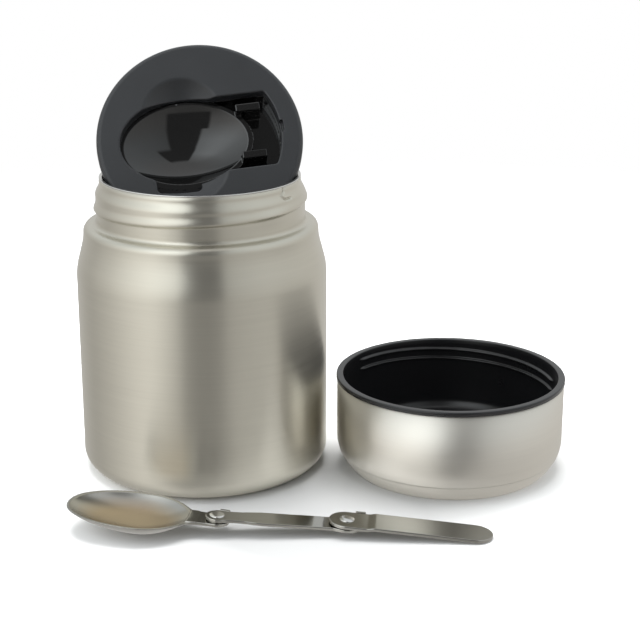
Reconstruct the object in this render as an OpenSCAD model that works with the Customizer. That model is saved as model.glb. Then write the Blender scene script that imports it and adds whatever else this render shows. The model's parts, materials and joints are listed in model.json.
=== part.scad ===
// Insulated food jar: double-walled vacuum jar, a plug stopper that stows a folding spoon,
// a screw-on cup, and the three-piece folding spoon. Millimetres, +Z up.
// Origin: on the table, under the axis of the jar. The stopper leans in the mouth of the jar,
// the cup stands open side up at its right, and the unfolded spoon lies in front.

/* [Jar] */
// Outer diameter of the body
body_d = 96; // [92:1:104]
// Height of the lip above the table
lip_z = 114.8; // [110:0.5:130]
// Height of the neck from the shoulder ledge up to the lip
neck_h = 17.9; // [16:0.5:21]
// Height of the shoulder from the end of the straight side wall up to the ledge
shoulder_h = 19.7; // [15:0.5:25]
// Distance of the shoulder ledge's edge inside the body's side
shoulder_in = 3.15; // [2.4:0.25:5]
// Width of the ledge that the cup screws down on
ledge_w = 5.05; // [4.6:0.1:5.6]
// Distance from the outside of the neck band in to the mouth
neck_wall = 2.8; // [2.2:0.2:3.6]
// Thickness of the steel sheet
sheet_t = 0.5; // [0.4:0.1:0.7]
// Radius of the rounding at the foot
foot_round = 7.6; // [5:0.5:9]
// Width of the vacuum gap at the side wall
vacuum_gap = 3.1; // [2.5:0.1:4.5]
// Height of the liner's underside above the table
liner_z = 8.5; // [8:0.5:12]

/* [Stopper] */
// Distance that the flange reaches past the lip
flange_over = 0.8; // [0.4:0.1:1.6]
// Thickness of the flange
flange_t = 5.2; // [4.6:0.2:6.4]
// Clear distance between the seated plug and the mouth
plug_play = 2; // [1.4:0.1:2.2]
// Wall of the moulded plastic parts
mould_t = 1.6; // [1.2:0.1:1.8]
// Clearance beside the bowl that lies in the opening over the dish
bowl_play = 1.4; // [0.6:0.1:1.8]
// Depth of the dish below its own rim
dish_depth = 6; // [5:0.5:8]
// Length of the straight pocket beside the dish
pocket_len = 12.9; // [11:0.3:14]
// Depth of the pocket's floor behind the face
pocket_depth = 10.5; // [8:0.5:11]
// Angle that the standing stopper leans back from upright
lean = 33; // [28:1:36]

/* [Cup] */
// Height of the cup
cup_h = 36.9; // [34:0.5:44]
// Distance of the steel sleeve inside the edge of the jar's shoulder ledge
cup_inset = 0.65; // [0.2:0.05:1.2]
// Distance that the liner's rim reaches past the sleeve
rim_over = 0.3; // [0:0.1:0.6]
// Clear distance between the liner's rim and the jar's neck when the cup is screwed on
neck_play = 2; // [1.6:0.1:2.6]
// Thickness of the liner's rim above the sleeve's edge
rim_t = 1.5; // [1:0.1:2.5]
// Clear distance between the standing cup and the jar
cup_gap = 4; // [1:0.5:40]

/* [Spoon] */
// Length of the bowl and tang from the tip to the inner rivet
bowl_reach = 54.6; // [50:0.5:58]
// Half width of the bowl
bowl_b = 15.9; // [13:0.2:16.4]
// Outer depth of the bowl
bowl_depth = 7.1; // [6:0.5:9]
// Distance between the two rivets
link_len = 46.2; // [40:0.5:48]
// Length of the grip from its rivet to its end
grip_len = 52; // [46:0.5:58]
// Width of the grip
grip_w = 13; // [11:0.5:14]
// Thickness of the strips
strip_t = 1.2; // [1:0.1:1.5]
// Diameter of the rivets' shanks
rivet_d = 3.2; // [2.6:0.2:3.6]

/* [Hidden] */
$fn = 96;
cut = 0.5;             // overrun of a cutting tool past the face that it cuts
seat_gap = 0.05;       // clearance of a part slipped over another
big = 200;             // larger than any part, for half-space cuts

// Jar
body_r = body_d / 2;
ledge_r = body_r - shoulder_in;
ledge_z = lip_z - neck_h;
neck_r = ledge_r - ledge_w;
mouth_r = neck_r - neck_wall;
weld_bead = 0.2;                           // room for the weld between the two sheets at the lip
lip_r = mouth_r + 2 * sheet_t + weld_bead;
lip_edge = 0.2;                            // rounding of the lip's edges
seam_z = lip_z - sheet_t;                  // top edge of the outer shell, under the liner's lip
lip_weld = 0.5;                            // straight stretch of the shell below the lip
neck_taper = 3.8;                          // height over which the neck draws in to the lip
ledge_round = 2.7;
neck_cove = 1.6;
shoulder_z = ledge_z - shoulder_h;
shoulder_top_z = ledge_z - ledge_round;
foot_w = 12;                               // from the body's side in to the foot ring's inner edge
foot_r = body_r - foot_w;
floor_z = 2;                               // underside of the outer bottom
liner_r = body_r - sheet_t - vacuum_gap;
liner_round = 8;
liner_neck_r = mouth_r + sheet_t;
liner_flare_top = ledge_z - 0.9;
liner_flare_h = 16;
foil_t = 0.2;
foil_margin = 3;                           // bare liner above and below the foil
getter_d = 10;
getter_h = 3.4;
getter_in = 14;                            // distance of the getter inside the foot ring
getter_x = foot_r - getter_in;
well_r = 5;                                // evacuation well in the outer bottom
well_h = 1.5;
vent_r = 1;
bead_r = 2.4;                              // drop of solder glass that seals the vent
bead_h = 1;
cover_gap = 0.3;                           // between the base cover and the foot ring
cover_lip = 0.6;

// Stopper, in its own frame: X along the recess, Z out of the face, face at Z = 0
flange_r = lip_r + flange_over;
face_round = 2;
flange_chamfer = 0.8;
plug_r = mouth_r - plug_play;
plug_round = 2;
gasket_inset = 1;
gasket_r = flange_r - gasket_inset;
gasket_t = 1.6;
tray_play = 0.3;                           // between the tray and the plug's wall
tray_r = plug_r - mould_t - tray_play;
tray_t = 1.4;
end_wall = 2.3;                            // from the tray's edge in to the pocket's end wall
pocket_r = tray_r - end_wall;              // end wall of the pocket, concentric with the flange
recess_y = 0.1;                            // axis of the dish beside the flange's middle
pocket_y = 0.9;                            // axis of the pocket beside the flange's middle
pocket_wall = 1.2;                         // walls of the pocket behind the tray's flat
foam_under = 2.8;                          // foam between the bottom of the dish and the plug's end
plug_depth = flange_t + dish_depth + tray_t + foam_under + mould_t;
dish_margin = 4.3;                         // flat of the tray left beyond the far end of the dish
dish_start = dish_margin - tray_r;         // ends of the dish along the recess
dish_end = pocket_r - pocket_len;
dish_x = (dish_start + dish_end) / 2;
dish_a = (dish_end - dish_start) / 2;
dish_ledge = 1.3;                          // ledge left between the cover's opening and the dish
dish_b = bowl_b + bowl_play - dish_ledge;
pocket_in = 1.1;                           // half width of the pocket below that of the dish
pocket_b = dish_b - pocket_in;
dish_axis = (dish_b * dish_b - dish_depth * dish_depth) / (2 * dish_depth); // height of its axis
dish_arc = (dish_a * dish_a + dish_depth * dish_depth) / (2 * dish_depth);  // radius of its profile
scoop_r = 14.6;                            // finger scoops: radius of their edge on the face
scoop_in = 5.6;                            // distance of their centres inside the dish's long edge
scoop_y = dish_b - scoop_in;
scoop_depth = 4.6;
scoop_ball = (scoop_r * scoop_r + scoop_depth * scoop_depth) / (2 * scoop_depth);
notch_w = 4.6;                             // notch in the end wall of the cover's opening
notch_depth = 1.2;
clip_len = 9.4;
clip_back = 6.5;                           // from the pocket's end wall to the two clips
clip_x = pocket_r - clip_back - clip_len;
clip_t = 2.9;
clip_play = 1.7;                           // between each clip and the stowed grip
clip_y = grip_w / 2 + clip_play;
clip_drop = 0.6;                           // tops of the clips behind the face
clip_barb = 0.5;
clip_barb_h = 1.6;
foam_gap = 0.3;
stopper_yaw = 4;
stopper_roll = 6.8;
stopper_xy = [0.2, 0.5];
mouth_gap = 0.3;                           // between the leaning stopper and the mouth's edge

// Height of the leaning face's centre above the lip at which a ring of radius r, at depth t behind
// the face, passes the mouth's edge with mouth_gap to spare
function stand_height(r, t) =
    let (free_r = mouth_r - mouth_gap, y = stopper_xy[1])
    let (k = r * r - free_r * free_r + pow(y + t / cos(lean), 2) - pow(t * tan(lean), 2))
    sqrt(max(0, pow(y * tan(lean), 2) + k)) - y * tan(lean);
stopper_h = max(
    stand_height(flange_r, flange_t - flange_chamfer),
    stand_height(gasket_r, flange_t + gasket_t),
    stand_height(plug_r, plug_depth - plug_round));

// Cup
cup_r = ledge_r - cup_inset;
rim_r = cup_r + rim_over;
rim_w = rim_r - neck_r - neck_play;        // radial width of the liner's rim
rim_edge = 0.4;
cup_turn_z = 12.5;                         // height where the sleeve starts to draw in
cup_step_z = 6.4;                          // height of the fine step round the base
cup_step = 0.2;
turn_angle = 21;                           // lean of the sleeve just above the step
base_angle_top = 24;                       // lean of the base just below the step
base_angle = 45;                           // lean of the base at the table
turn_r = (cup_turn_z - cup_step_z) / sin(turn_angle);
base_arc = cup_step_z / (sin(base_angle) - sin(base_angle_top));
step_r = cup_r - turn_r * (1 - cos(turn_angle));
cup_foot_r = step_r - cup_step - base_arc * (cos(base_angle_top) - cos(base_angle));
cup_foot_w = 5;                            // flat ring that the cup stands on
cup_dent_r = cup_foot_r - cup_foot_w;      // shallow recess pressed into the base
cup_dent = 0.6;
cup_foam_inset = 1;
liner_wall = 1.5;
liner_floor_z = 5.5;                       // underside of the cup liner
liner_corner = 6;
liner_draft = 0.6;
cup_bearing = -3.3;                        // direction from the jar to the cup
cup_at = (body_r + cup_gap + rim_r) * [cos(cup_bearing), sin(cup_bearing)];

// Spoon, in its own frame: X along the spoon, origin on the inner rivet under the tang
bowl_x = -28.7;                            // widest station of the bowl
bowl_front = bowl_reach + bowl_x;          // from the widest station to the tip
bowl_fullness = 0.85;                      // 1 is an ellipse, less is a blunter tip
bowl_taper = 2.3;                          // the more, the later the bowl narrows behind that station
bowl_wall = 0.9;
bowl_rim_z = 0.7;                          // plane of the rim above the tang's underside
bowl_axis = (bowl_b * bowl_b - bowl_depth * bowl_depth) / (2 * bowl_depth);
tang_r = 4.6;
tang_x = -8.7;                             // where the tang meets the bowl
root_b = 4.9;                              // half width of the bowl's rim there
tang_step = 0.6;                           // the tang's root is this much inside the bowl's outline
tang_lap = 0.5;                            // the tang runs this far into the bowl
washer_t = 0.35;
washer_r = 3.4;
pin_gap = 0.05;                            // round the shank, over the washer and under the head
strip_gap = washer_t + pin_gap;            // between two stacked strips
head_r = 2.75;
head_h = 0.7;
foot_head_r = 2.5;
foot_head_h = 0.5;
link_r = 4.1;                              // end of the link on the inner rivet
link_turn = 60;                            // the end's round runs on to this angle
waist_x = 7;
waist_b = 3.7;
link_wide_x = 17;
link_wide_b = 4.7;
link_end_r = 6;                            // end of the link under the outer rivet
grip_r = grip_w / 2;
joggle_x = 7.2;                            // offset bend that lets the folded grip pass the rivet
joggle_len = 3.4;
joggle_h = 0.5;
lug_w = 3.8;                               // stop lugs on the edges of the tang and the link
lug_t = 1.2;
lug_gap = 0.3;
lug_below = 0.2;                           // lug tops below the top of the strip that they stop
tang_lug_x = 0;
tang_lug_y = 4.95;
link_lug_x = 3.4;
link_lug_y = grip_r + lug_gap;
link_z = strip_t + strip_gap;              // undersides of the stacked strips
grip_z = link_z + strip_t + strip_gap;
rivet_r = rivet_d / 2;
bowl_heading = -7.8;                       // directions of the three pieces, seen from above
link_heading = 1.3;
grip_heading = -5.3;
spoon_x = 8.7;
spoon_front = 24.9;                        // distance of the inner rivet from the jar's side
grip_end_x = link_len * cos(link_heading) + grip_len * cos(grip_heading);
spoon_drop = bowl_depth - bowl_rim_z;      // bowl's lowest point below the tang's underside
grip_rise = grip_z + joggle_h;             // grip's underside above the tang's underside
spoon_sag = 0.15;                          // the pitch brings the bowl's back this much lower still
spoon_pitch = atan2(spoon_drop + spoon_sag + grip_rise, grip_end_x - bowl_x);
rest_gap = 0.08;                           // the curved bottom of the bowl stays above the table
spoon_z = grip_end_x * sin(spoon_pitch) - grip_rise * cos(spoon_pitch) + rest_gap;

// Points on an arc about c in the half-plane of a revolve, from angle a0 to a1
function arc(c, r, a0, a1, n = 8) =
    [for (i = [0:n]) let (a = a0 + (a1 - a0) * i / n) c + r * [cos(a), sin(a)]];

// Points of a smooth S from p to q that runs straight along its second coordinate at both ends
function flare(p, q, n = 10) =
    [for (i = [0:n]) let (t = i / n, s = t * t * (3 - 2 * t))
        [p[0] + (q[0] - p[0]) * s, p[1] + (q[1] - p[1]) * t]];

function flip(pts) = [for (i = [len(pts) - 1:-1:0]) pts[i]];
function swap(pts) = [for (p = pts) [p[1], p[0]]];
function mirrored(pts) = concat(pts, [for (p = flip(pts)) [p[0], -p[1]]]);

// Line of the outer shell, d inside its outer surface, from the foot ring up to the lip
function shell_line(d) = concat(
    [[foot_r + d, floor_z + sheet_t], [foot_r + d, d]],
    arc([body_r - foot_round, foot_round], foot_round - d, -90, 0),
    flare([body_r - d, shoulder_z], [ledge_r - d, shoulder_top_z]),
    arc([ledge_r - ledge_round, shoulder_top_z], ledge_round - d, 0, 90),
    arc([neck_r + neck_cove, ledge_z + neck_cove], neck_cove + d, -90, -180, 6),
    flare([neck_r - d, seam_z - lip_weld - neck_taper], [lip_r - d, seam_z - lip_weld], 6),
    [[lip_r - d, seam_z]]);

module outer_shell() {
    color("#9c988f") rotate_extrude() polygon(concat(shell_line(0), flip(shell_line(sheet_t))));
}

// Line of the inner liner, d inside its vacuum side, from the base's centre up to the neck
function liner_line(d) = concat(
    [[0, liner_z + d]],
    arc([liner_r - liner_round, liner_z + liner_round], liner_round - d, -90, 0),
    flare([liner_r - d, liner_flare_top - liner_flare_h], [liner_neck_r - d, liner_flare_top]));

module inner_liner() {
    color("#b4b1aa") rotate_extrude() polygon(concat(
        liner_line(0),
        [[liner_neck_r, seam_z], [lip_r, seam_z], [lip_r, lip_z - lip_edge], [lip_r - lip_edge, lip_z],
         [mouth_r + lip_edge, lip_z], [mouth_r, lip_z - lip_edge]],
        flip(liner_line(sheet_t))));
}

module tube(r_in, r_out, z0, z1) {
    translate([0, 0, z0]) difference() {
        cylinder(r = r_out, h = z1 - z0);
        translate([0, 0, -cut]) cylinder(r = r_in, h = z1 - z0 + 2 * cut);
    }
}

module heat_foil() {
    color("#c98a5a") tube(liner_r + seat_gap, liner_r + seat_gap + foil_t,
        liner_z + liner_round + foil_margin, liner_flare_top - liner_flare_h - foil_margin);
}

module getter() {
    color("#55585c") translate([getter_x, 0, floor_z + sheet_t]) cylinder(d = getter_d, h = getter_h);
}

module outer_bottom() {
    color("#a5a29b") rotate_extrude() polygon([
        [vent_r, floor_z + well_h], [well_r - sheet_t, floor_z + well_h],
        [well_r, floor_z], [foot_r, floor_z],
        [foot_r, floor_z + sheet_t], [well_r + sheet_t, floor_z + sheet_t],
        [well_r, floor_z + well_h + sheet_t], [vent_r, floor_z + well_h + sheet_t]]);
}

module seal_bead() {
    top_z = floor_z + well_h;
    color("#3d4a4a") rotate_extrude() polygon(concat(
        [[0, top_z - bead_h]], arc([bead_r - bead_h, top_z], bead_h, -90, 0, 4),
        [[vent_r, top_z], [vent_r, top_z + sheet_t], [0, top_z + sheet_t]]));
}

module base_cover() {
    cover_r = foot_r - cover_gap;
    color("#a5a29b") rotate_extrude() polygon([
        [0, 0], [cover_r - cover_lip, 0], [cover_r, cover_lip], [cover_r, floor_z],
        [cover_r - cover_lip, floor_z], [cover_r - cover_lip, cover_lip], [0, cover_lip]]);
}

// Places the stopper's own frame where it leans in the mouth
module in_mouth() {
    translate([stopper_xy[0], stopper_xy[1], lip_z + stopper_h])
        rotate([0, 0, stopper_yaw]) rotate([90 - lean, 0, 0]) rotate([0, 0, stopper_roll]) children();
}

// Body of revolution about the dish's long axis, larger than the dish by grow, below its rim
module dish_form(grow) {
    half = sqrt(pow(dish_arc + grow, 2) - pow(dish_arc - dish_depth, 2));
    reach = asin(half / (dish_arc + grow));
    difference() {
        translate([dish_x, recess_y, dish_axis - flange_t]) rotate([0, 90, 0]) rotate_extrude()
            polygon(concat(
                [[0, -half]],
                arc([dish_axis + dish_depth - dish_arc, 0], dish_arc + grow, -reach, reach, 24),
                [[0, half]]));
        translate([-big / 2, -big / 2, -flange_t]) cube(big);
    }
}

// Plan of the pocket beside the dish, grown by grow: straight sides and a concentric end wall
module pocket_plan(grow, from_x) {
    intersection() {
        circle(r = pocket_r + grow);
        translate([from_x, pocket_y - pocket_b - grow]) square([big, 2 * (pocket_b + grow)]);
    }
}

// Opening in the face: the oval over the dish and the pocket beside it
module recess_plan() {
    oval = [dish_a + dish_ledge, dish_b + dish_ledge];
    translate([dish_x, recess_y]) polygon([for (a = [0:5:355]) [oval[0] * cos(a), oval[1] * sin(a)]]);
    pocket_plan(0, dish_x);
}

module stopper_cover() {
    color("#26282a") in_mouth() difference() {
        rotate_extrude() polygon(concat(
            [[0, -flange_t], [flange_r - flange_chamfer, -flange_t], [flange_r, flange_chamfer - flange_t]],
            arc([flange_r - face_round, -face_round], face_round, 0, 90), [[0, 0]]));
        translate([0, 0, -flange_t - cut]) linear_extrude(flange_t + 2 * cut) recess_plan();
        for (side = [-1, 1])
            translate([dish_x, recess_y + side * scoop_y, scoop_ball - scoop_depth]) sphere(r = scoop_ball);
        translate([pocket_r - cut, pocket_y - notch_w / 2, -flange_t / 2])
            cube([notch_depth + cut, notch_w, flange_t]);
    }
}

// Clip that stands beside the stowed spoon, with a barb on its inner face
module clip(side) {
    low = -pocket_depth - tray_t / 2;
    top = -clip_drop;
    translate([clip_x, pocket_y, 0]) rotate([90, 0, 90]) linear_extrude(clip_len) polygon([
        [side * clip_y, low], [side * (clip_y + clip_t), low],
        [side * (clip_y + clip_t), top], [side * clip_y, top],
        [side * (clip_y - clip_barb), top - clip_barb_h / 2], [side * clip_y, top - clip_barb_h]]);
}

module spoon_tray() {
    color("#0d0e10") in_mouth() {
        difference() {
            union() {
                translate([0, 0, -flange_t - tray_t]) cylinder(r = tray_r, h = tray_t);
                dish_form(tray_t);
                translate([0, 0, -pocket_depth - tray_t]) linear_extrude(pocket_depth + tray_t - flange_t)
                    pocket_plan(pocket_wall, dish_x);
            }
            dish_form(0);
            difference() {
                translate([0, 0, -pocket_depth]) linear_extrude(pocket_depth)
                    pocket_plan(0, dish_x + tray_t);
                dish_form(tray_t);
            }
        }
        clip(1);
        clip(-1);
    }
}

module stopper_plug() {
    color("#1d1f21") in_mouth() rotate_extrude() polygon(concat(
        [[0, -plug_depth]], arc([plug_r - plug_round, plug_round - plug_depth], plug_round, -90, 0),
        [[plug_r, -flange_t], [plug_r - mould_t, -flange_t], [plug_r - mould_t, mould_t - plug_depth],
         [0, mould_t - plug_depth]]));
}

module stopper_foam() {
    bottom = mould_t - plug_depth;
    color("#e8e4d8") in_mouth() difference() {
        translate([0, 0, bottom]) cylinder(r = tray_r, h = plug_depth - mould_t - flange_t - tray_t);
        dish_form(tray_t + foam_gap);
        translate([0, 0, -pocket_depth - tray_t - foam_gap]) linear_extrude(pocket_depth)
            pocket_plan(tray_t + foam_gap, dish_x - foam_gap);
    }
}

module stopper_gasket() {
    color("#c9c8c2") in_mouth() translate([0, 0, -flange_t])
        mirror([0, 0, 1]) tube(plug_r + seat_gap, gasket_r, 0, gasket_t);
}

module at_cup() {
    translate([cup_at[0], cup_at[1], 0]) children();
}

// Line of the cup's sleeve, d inside its outer surface, from the base's centre up to its edge
function sleeve_line(d) = concat(
    [[0, cup_dent + d], [cup_dent_r - d, cup_dent + d], [cup_dent_r + cup_dent, d]],
    arc([cup_foot_r - base_arc * cos(base_angle), base_arc * sin(base_angle)],
        base_arc - d, -base_angle, -base_angle_top),
    arc([cup_r - turn_r, cup_turn_z], turn_r - d, -turn_angle, 0),
    [[cup_r - d, cup_h - rim_t]]);

module cup_sleeve() {
    color("#b5b2ab") at_cup() rotate_extrude()
        polygon(concat(sleeve_line(0), flip(sleeve_line(sheet_t))));
}

module cup_liner() {
    in_r = rim_r - rim_w - rim_edge / 2;
    out_r = in_r + liner_wall;
    low_r = out_r - liner_draft;
    edge_z = cup_h - rim_t;
    color("#17181a") at_cup() rotate_extrude() polygon(concat(
        [[0, liner_floor_z]],
        arc([low_r - liner_corner, liner_floor_z + liner_corner], liner_corner, -90, 0),
        [[out_r, edge_z], [rim_r, edge_z], [rim_r, cup_h - rim_edge], [rim_r - rim_edge, cup_h],
         [rim_r - rim_w + rim_edge, cup_h], [rim_r - rim_w, cup_h - rim_edge], [in_r, edge_z]],
        arc([low_r - liner_corner, liner_floor_z + liner_corner], liner_corner - liner_wall, 0, -90),
        [[0, liner_floor_z + liner_wall]]));
}

module cup_foam() {
    base_z = cup_dent + sheet_t;
    color("#e8e4d8") at_cup() translate([0, 0, base_z])
        cylinder(r = cup_dent_r - cup_foam_inset, h = liner_floor_z - base_z);
}

// Places the spoon's own frame where it rests on the bowl's bottom and the grip's end
module at_spoon(heading) {
    translate([spoon_x, -body_r - spoon_front, spoon_z])
        rotate([0, spoon_pitch, 0]) rotate([0, 0, heading]) children();
}

// Half width of the bowl's outline at its rim
function bowl_half(x) = x < bowl_x
    ? bowl_b * pow(max(0, 1 - pow((bowl_x - x) / bowl_front, 2)), bowl_fullness / 2)
    : bowl_b - (bowl_b - root_b) * pow((x - bowl_x) / (tang_x - bowl_x), bowl_taper);

// Body of revolution about the bowl's long axis, d inside its outer surface, below the rim
module bowl_form(d) {
    steps = 14;
    front = [for (i = [0:steps]) bowl_x - bowl_front * cos(90 * i / steps)];
    back = [for (i = [1:steps / 2]) bowl_x + (tang_x - bowl_x) * 2 * i / steps];
    profile = [for (x = concat(front, back)) [sqrt(pow(bowl_half(x), 2) + pow(bowl_axis, 2)) - d, x]];
    difference() {
        translate([0, 0, bowl_rim_z + bowl_axis]) rotate([0, 90, 0]) rotate_extrude()
            polygon(concat([[0, profile[0][1]]], profile, [[0, profile[len(profile) - 1][1]]]));
        translate([-big / 2, -big / 2, bowl_rim_z]) cube(big);
    }
}

// Upturned stop lug on the +Y edge of a strip that starts at z
module lug(x, y, z) {
    translate([x, 0, z]) cube([lug_w, y + lug_t, strip_t]);
    translate([x, y, z]) cube([lug_w, lug_t, 2 * strip_t + strip_gap - lug_below]);
}

module bore(z) {
    translate([0, 0, z - cut]) cylinder(r = rivet_r, h = strip_t + 2 * cut);
}

module pivot_bore(z) {
    translate([0, 0, z - cut]) cylinder(r = rivet_r + pin_gap, h = strip_t + 2 * cut);
}

module spoon_bowl() {
    tang_b = bowl_half(tang_x) - tang_step;
    color("#a8a59e") at_spoon(bowl_heading) difference() {
        union() {
            difference() {
                bowl_form(0);
                bowl_form(bowl_wall);
            }
            cylinder(r = tang_r, h = strip_t);
            linear_extrude(strip_t) polygon([
                [0, tang_r], [tang_x - tang_lap, tang_b], [tang_x - tang_lap, -tang_b], [0, -tang_r]]);
            lug(tang_lug_x, tang_lug_y, 0);
        }
        bore(0);
    }
}

module washer(z) {
    translate([0, 0, z]) difference() {
        cylinder(r = washer_r, h = washer_t);
        translate([0, 0, -cut]) cylinder(r = rivet_r + pin_gap, h = washer_t + 2 * cut);
    }
}

// Rivet through two strips: flat foot under the lower one, domed head over the upper one
module rivet(z) {
    stack = 2 * strip_t + strip_gap + pin_gap;
    translate([0, 0, z]) rotate_extrude() polygon(concat(
        [[0, -foot_head_h]], arc([foot_head_r - foot_head_h, 0], foot_head_h, -90, 0, 4),
        [[rivet_r, 0], [rivet_r, stack], [head_r, stack]],
        [for (i = [1:6]) [head_r * cos(15 * i), stack + head_h * sin(15 * i)]]));
}

module washer_inner() {
    color("#8f8c86") at_spoon(bowl_heading) washer(strip_t);
}

module rivet_inner() {
    color("#c4c2bc") at_spoon(bowl_heading) rivet(0);
}

// Outline of the link: small round end, waist, wider strip, larger round end
function link_edge() = concat(
    arc([0, 0], link_r, 180, link_turn),
    swap(flare([waist_b, waist_x], [link_wide_b, link_wide_x])),
    arc([link_len, 0], link_end_r, 180 - asin(link_wide_b / link_end_r), 0));

module spoon_link() {
    color("#a09d97") at_spoon(link_heading) difference() {
        union() {
            translate([0, 0, link_z]) linear_extrude(strip_t) polygon(mirrored(link_edge()));
            translate([link_len, 0, 0]) lug(link_lug_x, link_lug_y, link_z);
        }
        pivot_bore(link_z);
        translate([link_len, 0, 0]) bore(link_z);
    }
}

module at_outer_rivet(turn = 0) {
    at_spoon(link_heading) translate([link_len, 0, 0]) rotate([0, 0, turn]) children();
}

module washer_outer() {
    color("#8f8c86") at_outer_rivet() washer(link_z + strip_t);
}

module rivet_outer() {
    color("#c4c2bc") at_outer_rivet() rivet(link_z);
}

// Outline of the grip: parallel sides and two round ends, the first on the rivet
function grip_edge() = concat(
    arc([0, 0], grip_r, 180, 90),
    arc([grip_len - grip_r, 0], grip_r, 90, 0));

// Side line of the grip's underside: flat on the rivet, then raised by the joggle
function grip_side(z) = concat(
    [[-grip_r - cut, z], [joggle_x, z]],
    swap(flare([z, joggle_x], [z + joggle_h, joggle_x + joggle_len], 6)),
    [[grip_len + cut, z + joggle_h]]);

module spoon_grip() {
    color("#a8a59e") at_outer_rivet(grip_heading - link_heading) difference() {
        intersection() {
            translate([0, 0, grip_z - cut]) linear_extrude(strip_t + joggle_h + 2 * cut)
                polygon(mirrored(grip_edge()));
            translate([0, grip_w, 0]) rotate([90, 0, 0]) linear_extrude(2 * grip_w)
                polygon(concat(grip_side(grip_z), flip(grip_side(grip_z + strip_t))));
        }
        pivot_bore(grip_z);
    }
}

outer_shell();
inner_liner();
heat_foil();
getter();
outer_bottom();
seal_bead();
base_cover();
stopper_cover();
spoon_tray();
stopper_plug();
stopper_foam();
stopper_gasket();
cup_sleeve();
cup_liner();
cup_foam();
spoon_bowl();
washer_inner();
rivet_inner();
spoon_link();
washer_outer();
rivet_outer();
spoon_grip();
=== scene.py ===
"""An insulated food jar with its leaning stopper, its cup and its folding spoon, dressed round the CAD frame.

The pieces' sizes are millimetres and angles are degrees. The camera, the lamps and the floor are in metres.
Each piece stands in its own frame: the jar and the cup on their axes, the stopper with Z out of its face
and X along its recess, and each part of the spoon with X along it and Z up through its rivet.
"""
import json
import math

import bpy
import numpy as np
from mathutils import Matrix, Vector


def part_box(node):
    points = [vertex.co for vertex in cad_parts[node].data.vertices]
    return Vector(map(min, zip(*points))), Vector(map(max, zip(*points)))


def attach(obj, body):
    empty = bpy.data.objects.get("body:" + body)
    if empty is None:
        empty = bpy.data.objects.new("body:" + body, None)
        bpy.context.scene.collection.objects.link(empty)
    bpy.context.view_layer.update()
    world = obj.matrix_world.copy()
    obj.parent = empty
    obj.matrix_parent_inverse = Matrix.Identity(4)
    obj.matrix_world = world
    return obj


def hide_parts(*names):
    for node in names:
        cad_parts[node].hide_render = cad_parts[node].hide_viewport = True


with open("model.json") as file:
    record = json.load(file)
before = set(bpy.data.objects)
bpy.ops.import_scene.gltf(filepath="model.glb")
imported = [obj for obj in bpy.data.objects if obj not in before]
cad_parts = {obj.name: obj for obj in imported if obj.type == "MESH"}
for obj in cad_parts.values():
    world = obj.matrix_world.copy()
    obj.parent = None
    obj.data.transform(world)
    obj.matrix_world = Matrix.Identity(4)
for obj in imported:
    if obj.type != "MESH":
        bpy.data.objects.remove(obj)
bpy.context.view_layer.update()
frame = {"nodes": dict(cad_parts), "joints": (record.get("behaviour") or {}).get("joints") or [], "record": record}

MM = 0.001
TURN = 2 * math.pi

# Jar
BODY_R = 48
LIP_Z = 114.8
LEDGE_Z = 96.9
LEDGE_R = 44.85
NECK_R = 39.8
MOUTH_R = 37
SHEET = 0.5
LIP_R = 38.2
LIP_ROUND = 0.25
SEAM_Z = 114.3             # the outer sheet ends here, under the liner's lip
FOOT_ROUND = 7.6
FOOT_IN_R = 36
FOOT_RING_H = 2.5          # height of the foot ring's inner face
SHOULDER_Z = 77.2          # the wall is straight up to here
LEDGE_ROUND = 2.7
NECK_COVE = 1.6            # rounding between the ledge and the neck
NECK_STEP = (2.2, 6.4)     # drops below the lip between which the neck widens to its band
LINER_R = 44.4
LINER_Z = 8.5
LINER_ROUND = 8
LINER_FLARE = (80, 96)     # heights between which it narrows to the mouth
THREAD_LEAD = 7
NECK_CREST = 0.85          # height of the rolled thread over the neck band
NECK_RIDGE_DROP = 10.4     # the thread's crest below the lip, at the front
NECK_RIDGE_SOFT = 3.1      # width of its slope above the crest, and of the steeper one below
NECK_RIDGE_STEEP = 1.4
NECK_RIDGE_END = 240       # bearing at which it has faded out, on either side of the front
NECK_RIDGE_FADE = 60
NECK_BAND_LOW = (1.2, 1.5)     # where it comes in above the ledge, and over what height
NECK_BAND_TOP = 2          # height over which it comes in below the lip
NECK_LUG = (46, 16, 0.6)   # bearing and half width of the place where it stands prouder, and its share more
NECK_DENT = ((57.8, 2.1), (54.2, 3.4), (55.4, 4.4), (56.8, 5.0), (61.9, 5.0))     # bearings and drops
NECK_DENT_W = 0.6
NECK_DENT_DEPTH = 0.9

# Stopper
FLANGE_R = 39
FLANGE_T = 5.2
FACE_ROUND = 2             # rounding of the flange's front edge
BACK_ROUND = 0.8
PLUG_R = 35
PLUG_DEPTH = 17
PLUG_ROUND = 2
MOULD_T = 1.6
GASKET_R = 38
GASKET_T = 1.6
GASKET_ROUND = 0.7
GASKET_FIT = 0.05          # between the gasket and the plug
TRAY_R = 33.1
TRAY_T = 1.4
TRAY_ROUND = 0.2
TRAY_FILLET = 0.5          # where the tray's flat, dish and pocket meet
POCKET_R = 30.8            # radius of its end wall
POCKET_B = 14.9            # half width
POCKET_DEPTH = 10.5
POCKET_WALL = 1.2
POCKET_CORNER = 0.8
DISH_Y = 0.1               # axis of the dish beside the flange's middle
POCKET_Y = 0.9             # axis of the pocket beside the flange's middle
DISH_X = -5.45
DISH_A = 23.35             # half length and half width at the tray's flat
DISH_B = 16
DISH_DEPTH = 6
DISH_EDGE = 0.15           # rounding of its rim
DISH_END = 0.4             # rounding where its wall ends at the pocket
DISH_LEDGE = 1.3           # the flange's opening lies this far outside the dish's rim
OPENING_EDGE = 0.7         # rounding of the flange round the opening
OPENING_FILLET = 0.5       # where the opening's parts meet
SCOOP_R = 14.6             # finger scoops in the flange, to either side of the dish
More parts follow.
